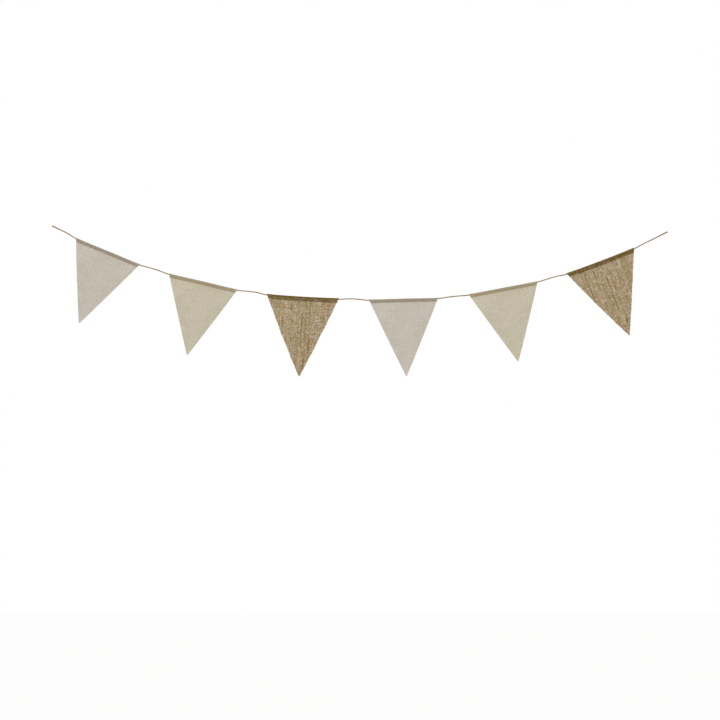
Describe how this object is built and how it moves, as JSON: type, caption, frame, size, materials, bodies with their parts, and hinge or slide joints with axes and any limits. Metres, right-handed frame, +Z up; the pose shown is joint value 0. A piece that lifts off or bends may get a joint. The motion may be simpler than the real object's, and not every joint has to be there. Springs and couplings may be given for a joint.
{
  "type": "fabric bunting",
  "caption": "String of triangular linen and burlap pennants, each folded and sewn over one thin jute cord that hangs in a shallow curve.",
  "frame": {"origin": "the left end of the cord, on its centre line, where the string is held up", "axes": "+X along the string from its left end to its right end, +Y from the front of the pennants to their backs, +Z up"},
  "size_m": [1.4162, 0.0063, 0.347],
  "materials": {
    "grey_linen": "plain-woven grey-beige linen, matte, a little uneven",
    "cream_linen": "plain-woven cream linen, matte, a little uneven",
    "burlap": "open, coarse plain-woven jute burlap with thick and thin yarns, matte",
    "jute": "thin twisted jute twine, matte and slightly hairy"
  },
  "bodies": {
    "root": {"cord": "jute", "pennant_1": "grey_linen", "pennant_2": "cream_linen", "pennant_3": "burlap", "pennant_4": "grey_linen", "pennant_5": "cream_linen", "pennant_6": "burlap"}
  },
  "joints": []
}
